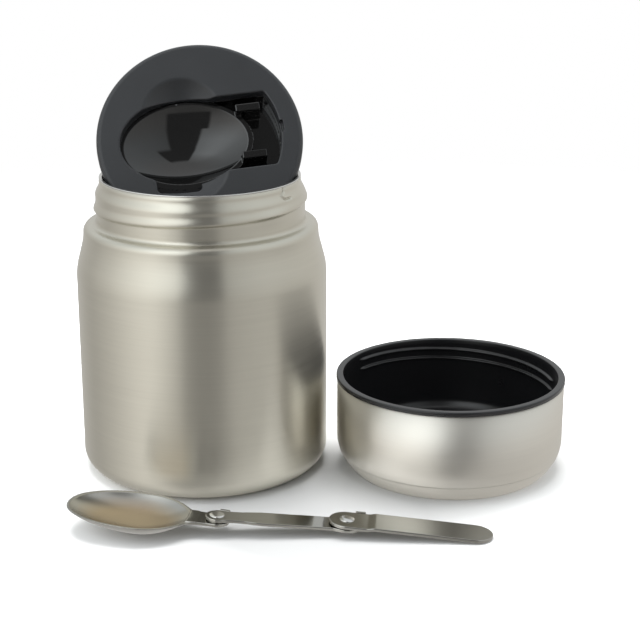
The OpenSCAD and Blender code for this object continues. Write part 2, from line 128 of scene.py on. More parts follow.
SCOOP_Y = 10.4
SCOOP_DEPTH = 4.6
SCOOP_EDGE = 0.5
NOTCH_W = 4.6
NOTCH_DEPTH = 1.2
NOTCH_ROUND = 0.3
LOBE = ((-18.4, -20.1), (-1.8, -12))     # corners of the part of the lower scoop that goes through the flange
LOBE_ROUND = 1.8
CLIP_X = 14.9
CLIP_LEN = 9.4
CLIP_Y = 8.2
CLIP_T = 2.9
CLIP_DROP = 0.6
CLIP_ROUND = 0.35
CLIP_FILLET = 0.4
LEAN = 33                  # its face looks this far above the level
YAW = 4                    # turn about the upright
ROLL = 6.8                 # turn in its own plane

# Cup
CUP_H = 36.9
CUP_R = 44.2
RIM_R = 44.5
RIM_W = 2.7
RIM_T = 1.5
RIM_ROUNDS = (0.5, 0.4)    # roundings of its outer and inner edge
CUP_TURN_Z = 12.5          # the wall is straight down to here, and then turns in to the step
CUP_STEP_Z = 6.4
CUP_STEP = 0.2
TURN_ANGLE = 21
BASE_ANGLES = (24, 45)     # how far the base's rounded edge leans in under the step and at the table
CUP_FOOT_W = 5
CUP_DENT = 0.6             # the middle of the base stands this far off the table
CUP_LINER_T = 1.5
CUP_LINER_STEP = 0.2       # the liner's wall stands this far inside the rim's inner edge
CUP_LINER_DRAFT = 0.6      # the wall comes in by this much towards the floor
CUP_FLOOR_Z = 7
CUP_CORNER = 6
CUP_THREAD = 1.0           # how far the inner thread's two thin ridges stand out of the liner's wall
CUP_RIDGE_T = 1.3
CUP_RIDGE_GAP = 3.9        # between their upper edges
CUP_RIDGE_DROP = 3.3       # the upper ridge's edge below the rim, at the back
CUP_RIDGE_ENDS = (-57, 84)     # bearings of their two ends, right of the back
CUP_RIDGE_STOP = 4         # degrees over which they end
CUP_RIDGE_EDGE = 0.5       # width of the slopes along them

# Spoon
BOWL_REACH = 54.6          # from the inner rivet to the bowl's tip
BOWL_X = -28.7             # where it is widest
BOWL_B = 15.9
BOWL_DEPTH = 7.1
BOWL_FULLNESS = 0.85       # exponents of its outline towards the tip and towards the tang
BOWL_TAPER = 2.3
BOWL_WALL = 0.9
BOWL_RIM_Z = 0.7
BOWL_EDGE = 0.35
BOWL_FILLET = 1.2          # where it runs into the tang
BOWL_OVERLAP = (1, 1.5)    # how far the bowl and the tang reach into each other
TANG_X = -8.7
ROOT_B = 4.9               # half width of the bowl's rim at the tang
TANG_R = 4.6
TANG_WIDENS = (-2, 8)      # start and length of the stretch over which the tang gets as wide as the rim
STRIP_T = 1.2
STRIP_GAP = 0.4            # between two stacked strips, over the washer
STRIP_EDGE = 0.3
RIVET_R = 1.6
RIVET_PLAY = 0.05          # between its head and the upper strip
HEAD_R = 2.75
HEAD_H = 0.7
FOOT_HEAD_R = 2.5
FOOT_HEAD_H = 0.5
LINK_R = 4.1
LINK_B = 3.7               # half width of the strip by the inner rivet
LINK_WIDENS = (7, 10)      # start and length of the stretch over which it gets 1 wider to each side
LINK_FILLET = 1.5
LINK_END_R = 6
GRIP_W = 13
GRIP_LEN = 52
JOGGLE = (7.2, 3.4, 0.5)   # start, length and height of the grip's offset bend
LUG_W = 3.8
LUG_T = 1.2
LUG_BELOW = 0.2            # its top below the upper strip's top
LUG_ROUNDS = (0.25, 0.3)   # roundings of its flap and of its stop
TANG_LUG = (0, 4.95)       # where each lug starts along its strip, and where its stop stands across
LINK_LUG = (3.4, 6.8)
BOWL_HEADING = -7.8        # headings of their X, counter-clockwise from the frame's +X
GRIP_HEADING = -5.3


# ---------------------------------------------------------------- frames

def joint(name):
    """A joint of the frame by its name."""
    return next(j for j in frame["joints"] if j["name"] == name)


def middle(node):
    """Middle of a CAD node's box."""
    low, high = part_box(node)
    return (low + high) / 2


def turned(axis, degrees):
    return Matrix.Rotation(math.radians(degrees), 4, axis)


def stopper_frame():
    """The gasket is a plain ring, so its box's middle is the point on the axis at half its depth."""
    turn = turned("Z", YAW) @ turned("X", 90 - LEAN) @ turned("Z", ROLL)
    depth = (FLANGE_T + GASKET_T / 2) * MM
    return Matrix.Translation(middle("stopper_gasket")) @ turn @ Matrix.Translation((0, 0, depth))


def cup_frame():
    low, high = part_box("cup_sleeve")
    return Matrix.Translation(((low.x + high.x) / 2, (low.y + high.y) / 2, 0))


inner_rivet = Vector(joint("link_fold")["pos_m"])
outer_rivet = Vector(joint("grip_fold")["pos_m"])
hinge = Vector(joint("link_fold")["axis"])
spoon_pitch = math.degrees(math.atan2(hinge.x, hinge.z))
along = turned("Y", -spoon_pitch) @ (outer_rivet - inner_rivet)
link_heading = math.degrees(math.atan2(along.y, along.x))
link_len = along.length / MM


def spoon_frame(origin, heading):
    return Matrix.Translation(origin) @ turned("Y", spoon_pitch) @ turned("Z", heading)


# ---------------------------------------------------------------- mesh makers

def make_piece(name, points, faces, body, matrix=Matrix.Identity(4)):
    """A smooth-shaded mesh object in metres that rides on a body."""
    mesh = bpy.data.meshes.new(name)
    mesh.from_pydata((np.asarray(points) * MM).tolist(), [], faces)
    mesh.validate()
    mesh.shade_smooth()
    piece = bpy.data.objects.new(name, mesh)
    bpy.context.scene.collection.objects.link(piece)
    piece.matrix_world = matrix
    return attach(piece, body)


def arc(centre, radius, start, end, steps=10):
    """Points on an arc in the half-plane of a lathe, angles in degrees."""
    angles = [math.radians(start + (end - start) * i / steps) for i in range(steps + 1)]
    return [(centre[0] + radius * math.cos(a), centre[1] + radius * math.sin(a)) for a in angles]


def flare(p, q, steps=24):
    """Points of a smooth S from p to q that runs straight along z at both ends."""
    points = []
    for i in range(steps + 1):
        rise = i / steps
        swing = rise * rise * (3 - 2 * rise)
        points.append((p[0] + (q[0] - p[0]) * swing, p[1] + (q[1] - p[1]) * rise))
    return points


def straight(p, q, steps):
    """Evenly spaced points from p to q, without p."""
    return [(p[0] + (q[0] - p[0]) * i / steps, p[1] + (q[1] - p[1]) * i / steps)
            for i in range(1, steps + 1)]


def lathe(name, profile, body, matrix=Matrix.Identity(4), steps=240, relief=None, closed=True):
    """Revolves (radius, z) points about Z. relief(angle, r, z) gives a change of radius, and a profile
    that isn't closed starts and ends on the axis."""
    rings, points, faces = [], [], []
    angle = np.arange(steps) * TURN / steps
    for r, z in profile:
        first = len(points)
        if r < 1e-6:
            points.append((0, 0, z))
            rings.append([first] * steps)
            continue
        radius = np.full(steps, float(r)) + (relief(angle, r, z) if relief else 0)
        points += [(radius[j] * math.cos(a), radius[j] * math.sin(a), z) for j, a in enumerate(angle)]
        rings.append(list(range(first, first + steps)))
    pairs = list(zip(rings, rings[1:] + rings[:1])) if closed else list(zip(rings, rings[1:]))
    for low, high in pairs:
        for j in range(steps):
            k = (j + 1) % steps
            quad = [low[j], low[k], high[k], high[j]]
            face = [v for i, v in enumerate(quad) if v not in quad[:i]]
            if len(face) > 2:
                faces.append(face)
    return make_piece(name, points, faces, body, matrix)


def blend_max(a, b, r):
    """The greater of two fields, with the edge where they meet rounded."""
    h = np.maximum(r - np.abs(a - b), 0) / r
    return np.maximum(a, b) + h * h * r / 4


def blend_min(a, b, r):
    return -blend_max(-a, -b, r)


def surface_net(field, low, high, step):
    """Points and quads of the surface where field(points) is 0, inside the box from low to high."""
    axes = [np.arange(lo, hi + step, step) for lo, hi in zip(low, high)]
    value = field(np.stack(np.meshgrid(*axes, indexing="ij"), -1))
    cells = tuple(n - 1 for n in value.shape)
    # Where an edge of the grid crosses the surface, each of the four cells round it counts the crossing
    total, count, crossings = np.zeros(cells + (3,)), np.zeros(cells), []
    for axis in range(3):
        others = [d for d in range(3) if d != axis]
        first = [slice(None)] * 3
        second = [slice(None)] * 3
        first[axis], second[axis] = slice(0, -1), slice(1, None)
        a, b = value[tuple(first)], value[tuple(second)]
        crosses = (a < 0) != (b < 0)
        share = np.where(crosses, a / np.where(crosses, a - b, 1), 0)
        index = np.indices(a.shape)
        place = np.stack([axes[d][index[d]] for d in range(3)], -1)
        place[..., axis] += share * step
        for near in ((0, 0), (0, 1), (1, 0), (1, 1)):
            part = [slice(None)] * 3
            for d, shift in zip(others, near):
                part[d] = slice(1, None) if shift else slice(0, -1)
            hit = crosses[tuple(part)]
            total += np.where(hit[..., None], place[tuple(part)], 0)
            count += hit
        crossings.append((axis, others, crosses, a < 0))
    # A cell with crossings gets one point, their mean
    used = count > 0
    number = np.full(cells, -1)
    number[used] = np.arange(used.sum())
    points = total[used] / count[used][:, None]
    # Each crossed edge gets a quad of its four cells' points, wound to face outwards
    quads = []
    for axis, others, crosses, starts_inside in crossings:
        at = np.argwhere(crosses)
        at = at[np.all([(at[:, d] > 0) & (at[:, d] < cells[d]) for d in others], axis=0)]
        ring = []
        for near in ((1, 1), (0, 1), (0, 0), (1, 0)):
            cell = at.copy()
            for d, shift in zip(others, near):
                cell[:, d] -= shift
            ring.append(number[tuple(cell.T)])
        ring = np.stack(ring, 1)
        turn = starts_inside[tuple(at.T)] ^ (axis == 1)
        quads.append(np.where(turn[:, None], ring, ring[:, ::-1]))
    return points, np.concatenate(quads)


def slope(field, points, reach):
    """Gradient of a field by central differences."""
    columns = []
    for axis in range(3):
        shift = np.zeros(3)
        shift[axis] = reach
        columns.append((field(points + shift) - field(points - shift)) / (2 * reach))
    return np.stack(columns, 1)


def mould(name, field, low, high, step, body, matrix):
    """A piece whose surface is where field(points) is 0, with its points drawn onto that surface."""
    points, quads = surface_net(field, low, high, step)
    reach = step / 8
    rounds = 3
    least_slope = 0.05
    for _ in range(rounds):
        gradient = slope(field, points, reach)
        squared = np.maximum((gradient ** 2).sum(1), least_slope)
        move = -field(points)[:, None] * gradient / squared[:, None]
        points = points + np.clip(move, -step / 2, step / 2)
    piece = make_piece(name, points, quads.tolist(), body, matrix)
    normals = slope(field, points, reach)
    normals /= np.maximum(np.linalg.norm(normals, axis=1), 1e-6)[:, None]
    piece.data.normals_split_custom_set_from_vertices(normals.tolist())
    return piece


def box_field(p, low, high, round_r):
    """Distance to a box with rounded edges."""
    low, high = np.array(low, float), np.array(high, float)
    q = np.abs(p - (low + high) / 2) - ((high - low) / 2 - round_r)
    return np.linalg.norm(np.maximum(q, 0), axis=-1) + np.minimum(q.max(-1), 0) - round_r


def slab_field(z, low, high):
    return np.abs(z - (low + high) / 2) - (high - low) / 2


def disc_field(r, z, radius, low, high, round_r):
    """Distance to a disc from low to high, with rounded edges."""
    qr, qz = r - (radius - round_r), slab_field(z, low, high) + round_r
    return np.hypot(np.maximum(qr, 0), np.maximum(qz, 0)) + np.minimum(np.maximum(qr, qz), 0) - round_r


def smoothstep(t):
    t = np.clip(t, 0, 1)
    return t * t * (3 - 2 * t)


# ---------------------------------------------------------------- materials

def mixed(tree, factor, first, second):
    """The colour from first to second by factor. Each is a colour or a node's output."""
    mix = tree.nodes.new("ShaderNodeMix")
    mix.data_type = "RGBA"
    tree.links.new(factor, mix.inputs["Factor"])
    for socket, color in zip(mix.inputs[6:8], (first, second)):
        if isinstance(color, bpy.types.NodeSocket):
            tree.links.new(color, socket)
        else:
            socket.default_value = (*color, 1)
    return mix.outputs[2]


class Finish:
    """A Principled material, and the few calls that build its nodes."""

    def __init__(self, name, color, roughness, metallic=0.0, **values):
        self.material = bpy.data.materials.new(name)
        self.material.use_nodes = True
        self.tree = self.material.node_tree
        self.shader = self.tree.nodes["Principled BSDF"]
        self.set("Base Color", (*color, 1))
        self.set("Roughness", roughness)
        self.set("Metallic", metallic)
        for socket, value in values.items():
            self.set(socket.replace("_", " "), value)

    def set(self, socket, value):
        self.shader.inputs[socket].default_value = value

    def node(self, kind, operation=None, **inputs):
        made = self.tree.nodes.new("ShaderNode" + kind)
        if operation:
            made.operation = operation
        for key, value in inputs.items():
            socket = made.inputs[int(key[1:]) if key[1:].isdigit() else key.replace("_", " ")]
            if isinstance(value, bpy.types.NodeSocket):
                self.tree.links.new(value, socket)
            else:
                socket.default_value = value
        return made

    def math(self, operation, a, b=0.0, c=0.0):
        return self.node("Math", operation, _0=a, _1=b, _2=c).outputs[0]

    def spread(self, value, low, high, clamp=True):
        """value, from 0 to 1, as a number from low to high."""
        made = self.node("MapRange", Value=value, To_Min=low, To_Max=high)
        made.clamp = clamp
        return made.outputs[0]

    def noise(self, vector, scale, detail=2.0, rough=0.5):
        return self.node("TexNoise", Vector=vector, Scale=scale, Detail=detail, Roughness=rough).outputs[0]

    def scaled(self, value, factor):
        return self.math("MULTIPLY", value, factor)

    def place(self):
        return self.node("TexCoord").outputs["Object"]

    def combine(self, x, y, z):
        return self.node("CombineXYZ", X=x, Y=y, Z=z).outputs[0]

    def color(self, value, dark, light):
        """Base colour between two tones by value."""
        self.tree.links.new(mixed(self.tree, value, dark, light), self.shader.inputs["Base Color"])

    def blend_color(self, factor, tint):
        """The base colour turns into tint as factor goes from 0 to 1."""
        base = self.shader.inputs["Base Color"]
        before = base.links[0].from_socket
        self.tree.links.new(mixed(self.tree, factor, before, tint), base)

    def rough(self, value, low, high):
        self.tree.links.new(self.spread(value, low, high, False), self.shader.inputs["Roughness"])

    def bump(self, height, distance, strength=1.0):
        made = self.node("Bump", Height=height, Distance=distance, Strength=strength)
        self.tree.links.new(made.outputs[0], self.shader.inputs["Normal"])

    def use(self, *pieces):
        for piece in pieces:
            piece.data.materials.clear()
            piece.data.materials.append(self.material)


def tone(color, factor):
    return tuple(min(1, c * factor) for c in color)


def turned_steel(name, color, roughness, streak, anisotropic, grain=0.05):
    """Steel brushed round its axis: streaks that follow the turn on walls and on flats alike. streak is
    how fine they are across, and grain how much lighter and darker than color they get."""
    finish = Finish(name, color, roughness, 1.0, Anisotropic=anisotropic, Anisotropic_Rotation=0.25)
    split = finish.node("SeparateXYZ", Vector=finish.place())
    x, y, z = split.outputs
    radius = finish.math("SQRT", finish.math("ADD", finish.scaled(x, x), finish.scaled(y, y)))
    across = finish.scaled(finish.math("ADD", z, radius), streak)
    around = 22.0
    lines = finish.combine(finish.scaled(x, around), finish.scaled(y, around), across)
    streaks = finish.noise(lines, scale=1.0, detail=4.0, rough=0.62)
    clouds = finish.noise(finish.place(), scale=28.0)
    share = 0.7
    shade = finish.math("ADD", finish.scaled(streaks, share), finish.scaled(clouds, 1 - share))
    finish.color(finish.spread(shade, low=-0.4, high=1.4), tone(color, 1 - grain), tone(color, 1 + grain))
    change = 0.07
    finish.rough(shade, roughness - change, roughness + change)
    finish.bump(streaks, distance=0.00003, strength=0.35)
    tangent = finish.tree.nodes.new("ShaderNodeTangent")
    tangent.direction_type = "RADIAL"
    tangent.axis = "Z"
    finish.tree.links.new(tangent.outputs[0], finish.shader.inputs["Tangent"])
    return finish


BOWL_MATT = 3.0            # how much rougher the bowl is than the strips, in spreads of their roughness
BOWL_STARTS = (-0.006, -0.012)     # along X, metres, where the strips' finish turns into the bowl's
PAINTED_REFLECTION_HEIGHTS = (-0.0006, -0.0035)   # heights in the bowl, metres, over which its painted warm reflection comes in


def drawn_steel(name, color, roughness, grain=0.03, painted_bowl_reflection=None):
    """Satin steel rubbed along X, with faint handling marks, and a painted warm reflection inside the bowl that
    comes in deeper down.
    """
    finish = Finish(name, color, roughness, 1.0)
    split = finish.node("SeparateXYZ", Vector=finish.place())
    x, y, z = split.outputs
    lengthwise, across = 60.0, 2600.0
    lines = finish.combine(finish.scaled(x, lengthwise), finish.scaled(y, across), finish.scaled(z, across))
    streaks = finish.noise(lines, scale=1.0, detail=3.0, rough=0.6)
    clouds = finish.noise(finish.place(), scale=90.0, detail=3.0)
    shade = finish.math("ADD", finish.scaled(streaks, 0.5), finish.scaled(clouds, 0.5))
    finish.color(shade, tone(color, 1 - grain), tone(color, 1 + grain))
    # Painted warm reflection: on the bowl's upward faces the colour turns warmer and a little darker deeper down
    if painted_bowl_reflection:
        start, end = BOWL_STARTS
        in_bowl = finish.node("MapRange", Value=x, From_Min=start, From_Max=end).outputs[0]
        high, low = PAINTED_REFLECTION_HEIGHTS
        deep = finish.node("MapRange", Value=z, From_Min=high, From_Max=low).outputs[0]
        facing = finish.node("SeparateXYZ", Vector=finish.node("TexCoord").outputs["Normal"]).outputs[2]
        inside = finish.math("GREATER_THAN", facing, 0.0)
        finish.blend_color(finish.scaled(deep, inside), painted_bowl_reflection)
        shade = finish.math("MULTIPLY_ADD", in_bowl, BOWL_MATT, shade)
    change = 0.03
    finish.rough(shade, roughness - change, roughness + change)
    finish.bump(streaks, distance=0.00002, strength=0.06)
    return finish


def moulded(name, color, roughness, texture, strength, **values):
    """A moulded or cast surface with a fine, even texture and slight wear in its gloss. texture is how
    fine it is, and strength how deep."""
    finish = Finish(name, color, roughness, **values)
    fine = finish.noise(finish.place(), scale=texture)
    clouds = finish.noise(finish.place(), scale=60.0, detail=3.0)
    finish.color(clouds, tone(color, 0.85), tone(color, 1.15))
    finish.rough(clouds, roughness * 0.9, roughness * 1.15)
    finish.bump(fine, distance=0.00002, strength=strength)
    return finish


def make_finishes():
    steel = (0.61, 0.585, 0.51)
    return {
        "brushed_steel": turned_steel("brushed_steel", steel, 0.33, 900.0, 0.8),
        "liner_steel": turned_steel("liner_steel", (0.64, 0.63, 0.61), 0.26, 500.0, 0.4),
        "cup_steel": turned_steel("cup_steel", (0.73, 0.70, 0.64), 0.42, 700.0, 0.35, 0.03),
        "base_steel": turned_steel("base_steel", steel, 0.34, 500.0, 0.4),
        "foil": moulded("foil", (0.80, 0.78, 0.74), 0.2, 900.0, 0.3, Metallic=1.0),
        "getter_metal": moulded("getter_metal", (0.25, 0.26, 0.28), 0.55, 2500.0, 0.6, Metallic=1.0),
        "sealing_glass": moulded("sealing_glass", (0.20, 0.26, 0.26), 0.1, 300.0, 0.1),
        "satin_black": moulded("satin_black", (0.018, 0.019, 0.021), 0.42, 5200.0, 0.12),
        "gloss_black": moulded("gloss_black", (0.004, 0.004, 0.004), 0.05, 500.0, 0.0, IOR=1.65),
        "liner_black": moulded("liner_black", (0.008, 0.008, 0.009), 0.28, 4800.0, 0.1),
        "foam": moulded("foam", (0.82, 0.80, 0.74), 0.85, 900.0, 0.9),
        "silicone": moulded("silicone", (0.62, 0.62, 0.60), 0.55, 2400.0, 0.15),
        # the spoon's second colour is a painted warm reflection inside its bowl
        "spoon_steel": drawn_steel("spoon_steel", (0.41, 0.40, 0.37), 0.07, painted_bowl_reflection=(0.42, 0.34, 0.24)),
        "rivet_steel": drawn_steel("rivet_steel", (0.70, 0.69, 0.67), 0.20, 0.03),
    }


finishes = make_finishes()


def dress(piece, slot, *nodes):
    """Gives a piece the finish of its slot, and hides the nodes that it stands for."""
    finishes[slot].use(piece)
    if nodes:
        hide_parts(*nodes)
    return piece


# ---------------------------------------------------------------- jar

def shell_line(d):
    """Outer shell, d inside its outer surface, from the foot ring up to the seam."""
    step_top, step_low = (LIP_Z - drop for drop in NECK_STEP)
    return (
        [(FOOT_IN_R + d, FOOT_RING_H), (FOOT_IN_R + d, d)]
        + arc((BODY_R - FOOT_ROUND, FOOT_ROUND), FOOT_ROUND - d, -90, 0, 16)
        + straight((BODY_R - d, FOOT_ROUND), (BODY_R - d, SHOULDER_Z), 8)[:-1]
        + flare((BODY_R - d, SHOULDER_Z), (LEDGE_R - d, LEDGE_Z - LEDGE_ROUND))
        + arc((LEDGE_R - LEDGE_ROUND, LEDGE_Z - LEDGE_ROUND), LEDGE_ROUND - d, 0, 90, 12)[1:]
        + arc((NECK_R + NECK_COVE, LEDGE_Z + NECK_COVE), NECK_COVE + d, -90, -180, 8)
        + straight((NECK_R - d, LEDGE_Z + NECK_COVE), (NECK_R - d, step_low), 40)[:-1]
        + flare((NECK_R - d, step_low), (LIP_R - d, step_top), 18)
        + [(LIP_R - d, SEAM_Z)])


def neck_relief(angle, r, z):
    """The rolled thread, a ridge that climbs to the right, soft above its crest and steep below it; and
    the small hooked dent at the thread's upper end."""
    right_of_front = np.degrees(angle) + 90
    right_of_front = np.where(right_of_front > 180, right_of_front - 360, right_of_front)
    drop = LIP_Z - z
    height = np.zeros_like(angle)
    for turn in (-1, 0, 1):
        travel = right_of_front + 360 * turn
        below = drop - NECK_RIDGE_DROP + THREAD_LEAD * travel / 360
        near = np.where(below > 0, below / NECK_RIDGE_STEEP, -below / NECK_RIDGE_SOFT)
        ends = smoothstep((NECK_RIDGE_END - np.abs(travel)) / NECK_RIDGE_FADE)
        height = np.maximum(height, smoothstep(1 - near) * ends)
    at, half, more = NECK_LUG
    height *= 1 + more * smoothstep(1 - np.abs(right_of_front - at) / half)
    start, rise = NECK_BAND_LOW
    band = smoothstep((z - LEDGE_Z - start) / rise) * smoothstep((drop - NECK_STEP[0]) / NECK_BAND_TOP)
    across = math.radians(1) * NECK_R
    gap = np.full_like(angle, NECK_DENT_W)
    for (b0, d0), (b1, d1) in zip(NECK_DENT, NECK_DENT[1:]):
        run, fall = (b1 - b0) * across, d1 - d0
        dx, dy = (right_of_front - b0) * across, drop - d0
        part = np.clip((dx * run + dy * fall) / (run ** 2 + fall ** 2), 0, 1)
        gap = np.minimum(gap, np.hypot(dx - part * run, dy - part * fall))
    dent = NECK_DENT_DEPTH * smoothstep(1 - gap / NECK_DENT_W) if z > LEDGE_Z else 0
    return NECK_CREST * height * band - dent


def make_jar():
    outline = shell_line(0) + shell_line(SHEET)[::-1]
    shell = lathe("jar_shell", outline, "jar", steps=600, relief=neck_relief)
    dress(shell, "brushed_steel", "outer_shell")
    neck = MOUTH_R + SHEET
    low, high = LINER_FLARE
    corner = (LINER_R - LINER_ROUND, LINER_Z + LINER_ROUND)
    outside = ([(0, LINER_Z)] + arc(corner, LINER_ROUND, -90, 0, 12)
               + flare((LINER_R, low), (neck, high)) + [(neck, SEAM_Z), (LIP_R, SEAM_Z)])
    lip_z = LIP_Z - LIP_ROUND
    lip = (arc((LIP_R - LIP_ROUND, lip_z), LIP_ROUND, 0, 90, 5)
           + arc((MOUTH_R + LIP_ROUND, lip_z), LIP_ROUND, 90, 180, 5))
    inside = ([(MOUTH_R, high)] + flare((MOUTH_R, high), (LINER_R - SHEET, low))[1:]
              + arc(corner, LINER_ROUND - SHEET, 0, -90, 12) + [(0, LINER_Z + SHEET)])
    liner = lathe("jar_liner", outside + lip + inside, "jar", closed=False)
    dress(liner, "liner_steel", "inner_liner")


# ---------------------------------------------------------------- stopper

def oval_field(x, y, a, b):
    """Nearly the distance to an ellipse."""
    scale = np.sqrt((x / a) ** 2 + (y / b) ** 2)
    grade = np.maximum(np.sqrt((x / a ** 2) ** 2 + (y / b ** 2) ** 2), 1e-6)
    return scale * (scale - 1) / grade


def pocket_field(x, y, from_x):
    """Plan of the pocket: straight sides and an end wall concentric with the flange."""
    sides = blend_max(np.abs(y - POCKET_Y) - POCKET_B, np.hypot(x, y) - POCKET_R, POCKET_CORNER)
    return np.maximum(sides, from_x - x)


def dish_field(p, grow):
    """The dish's hollow as a body of revolution about its long axis."""
    axis_h = (DISH_B ** 2 - DISH_DEPTH ** 2) / (2 * DISH_DEPTH)
    curve = (DISH_A ** 2 + DISH_DEPTH ** 2) / (2 * DISH_DEPTH)
    out = np.hypot(p[..., 1] - DISH_Y, p[..., 2] - (axis_h - FLANGE_T))
    return np.hypot(p[..., 0] - DISH_X, out - (axis_h + DISH_DEPTH - curve)) - curve - grow


def cover_field(p):
    x, y, z = p[..., 0], p[..., 1], p[..., 2]
    r = np.hypot(x, y)
    front = disc_field(r, z, FLANGE_R, -FLANGE_T, 0, FACE_ROUND)
    rear = disc_field(r, z, FLANGE_R, -FLANGE_T, 0, BACK_ROUND)
    solid = np.where(z > -FLANGE_T / 2, front, rear)
    opening = blend_min(oval_field(x - DISH_X, y - DISH_Y, DISH_A + DISH_LEDGE, DISH_B + DISH_LEDGE),
                        pocket_field(x, y, DISH_X), OPENING_FILLET)
    (left, low), (right, high) = LOBE
    lobe = box_field(p, (left, low, -2 * FLANGE_T), (right, high, FLANGE_T), LOBE_ROUND)
    solid = blend_max(solid, -blend_min(opening, lobe, OPENING_FILLET), OPENING_EDGE)
    ball = (SCOOP_R ** 2 + SCOOP_DEPTH ** 2) / (2 * SCOOP_DEPTH)
    for side in (-1, 1):
        centre = np.array((DISH_X, DISH_Y + side * SCOOP_Y, ball - SCOOP_DEPTH))
        solid = blend_max(solid, ball - np.linalg.norm(p - centre, axis=-1), SCOOP_EDGE)
    overlap = 1
    notch = box_field(p, (POCKET_R - overlap, POCKET_Y - NOTCH_W / 2, -FLANGE_T / 2),
                      (POCKET_R + NOTCH_DEPTH, POCKET_Y + NOTCH_W / 2, FLANGE_T / 2), NOTCH_ROUND)
    return blend_max(solid, -notch, NOTCH_ROUND)


def tray_field(p):
    x, y, z = p[..., 0], p[..., 1], p[..., 2]
    flat = disc_field(np.hypot(x, y), z, TRAY_R, -FLANGE_T - TRAY_T, -FLANGE_T, TRAY_ROUND)
    bowl = np.maximum(dish_field(p, TRAY_T), z + FLANGE_T)
    well = np.maximum(pocket_field(x, y, DISH_X) - POCKET_WALL,
                      slab_field(z, -POCKET_DEPTH - TRAY_T, -FLANGE_T))
    solid = blend_min(blend_min(flat, bowl, TRAY_FILLET), well, TRAY_FILLET)
    solid = blend_max(solid, -dish_field(p, 0), DISH_EDGE)
    hollow = np.maximum(pocket_field(x, y, DISH_X + TRAY_T), slab_field(z, -POCKET_DEPTH, FLANGE_T))
    hollow = blend_max(hollow, -dish_field(p, TRAY_T), DISH_END)
    solid = blend_max(solid, -hollow, TRAY_FILLET)
    for side in (-1, 1):
        inner, outer = sorted((POCKET_Y + side * CLIP_Y, POCKET_Y + side * (CLIP_Y + CLIP_T)))
        clip = box_field(p, (CLIP_X, inner, -POCKET_DEPTH - TRAY_T / 2),
                         (CLIP_X + CLIP_LEN, outer, -CLIP_DROP), CLIP_ROUND)
        solid = blend_min(solid, clip, CLIP_FILLET)
    return solid


def make_stopper():
    at = stopper_frame()
    room = 1.2
    cover_grid, tray_grid = 0.36, 0.34
    cover = mould("stopper_flange", cover_field, (-FLANGE_R - room, -FLANGE_R - room, -FLANGE_T - room),
                  (FLANGE_R + room, FLANGE_R + room, room), cover_grid, "stopper", at)
    dress(cover, "satin_black", "stopper_cover")
    deepest = FLANGE_T + DISH_DEPTH + TRAY_T
    tray = mould("stopper_tray", tray_field, (-TRAY_R - room, -TRAY_R - room, -deepest - room),
                 (TRAY_R + room, TRAY_R + room, room), tray_grid, "stopper", at)
    dress(tray, "gloss_black", "spoon_tray")
    line = ([(0, -PLUG_DEPTH)] + arc((PLUG_R - PLUG_ROUND, PLUG_ROUND - PLUG_DEPTH), PLUG_ROUND, -90, 0)
            + [(PLUG_R, -FLANGE_T), (PLUG_R - MOULD_T, -FLANGE_T), (PLUG_R - MOULD_T, MOULD_T - PLUG_DEPTH),
               (0, MOULD_T - PLUG_DEPTH)])
    dress(lathe("stopper_body", line, "stopper", at, closed=False), "satin_black", "stopper_plug")
    in_r, low_z = PLUG_R + GASKET_FIT, -FLANGE_T - GASKET_T
    ring = [(in_r, -FLANGE_T), (in_r, low_z)]
    ring += arc((GASKET_R - GASKET_ROUND, low_z + GASKET_ROUND), GASKET_ROUND, -90, 0, 6)
    ring += [(GASKET_R, -FLANGE_T)]
    dress(lathe("stopper_seal", ring, "stopper", at), "silicone", "stopper_gasket")


# ---------------------------------------------------------------- cup

def sleeve_line(d):
    """Steel sleeve, d inside its outer surface, from the middle of the base up to its edge."""
    sin = lambda a: math.sin(math.radians(a))
    cos = lambda a: math.cos(math.radians(a))
    top, low = BASE_ANGLES
    turn_r = (CUP_TURN_Z - CUP_STEP_Z) / sin(TURN_ANGLE)
    base_r = CUP_STEP_Z / (sin(low) - sin(top))
    step_r = CUP_R - turn_r * (1 - cos(TURN_ANGLE))
    foot_r = step_r - CUP_STEP - base_r * (cos(top) - cos(low))
    dent_r = foot_r - CUP_FOOT_W
    return (
        [(0, CUP_DENT + d), (dent_r - d, CUP_DENT + d), (dent_r + CUP_DENT, d)]
        + arc((foot_r - base_r * cos(low), base_r * sin(low)), base_r - d, -low, -top, 12)
        + arc((CUP_R - turn_r, CUP_TURN_Z), turn_r - d, -TURN_ANGLE, 0, 12)
        + [(CUP_R - d, CUP_H - RIM_T)])


def cup_thread(angle, r, z):
    """The inner thread: two thin ridges side by side that sink to the right along the back wall."""
    if r > RIM_R - RIM_W or z < CUP_H / 3:
        return np.zeros_like(angle)
    right_of_back = 90 - np.degrees(angle)
    right_of_back = np.where(right_of_back < -180, right_of_back + 360, right_of_back)
    below = CUP_H - z - CUP_RIDGE_DROP - THREAD_LEAD * right_of_back / 360
    below = np.where(below > CUP_RIDGE_GAP - CUP_RIDGE_EDGE, below - CUP_RIDGE_GAP, below)
    shape = smoothstep(below / CUP_RIDGE_EDGE) * smoothstep((CUP_RIDGE_T - below) / CUP_RIDGE_EDGE)
    left, right = CUP_RIDGE_ENDS
    starts = smoothstep((right_of_back - left) / CUP_RIDGE_STOP)
    ends = smoothstep((right - right_of_back) / CUP_RIDGE_STOP)
    return -CUP_THREAD * shape * starts * ends


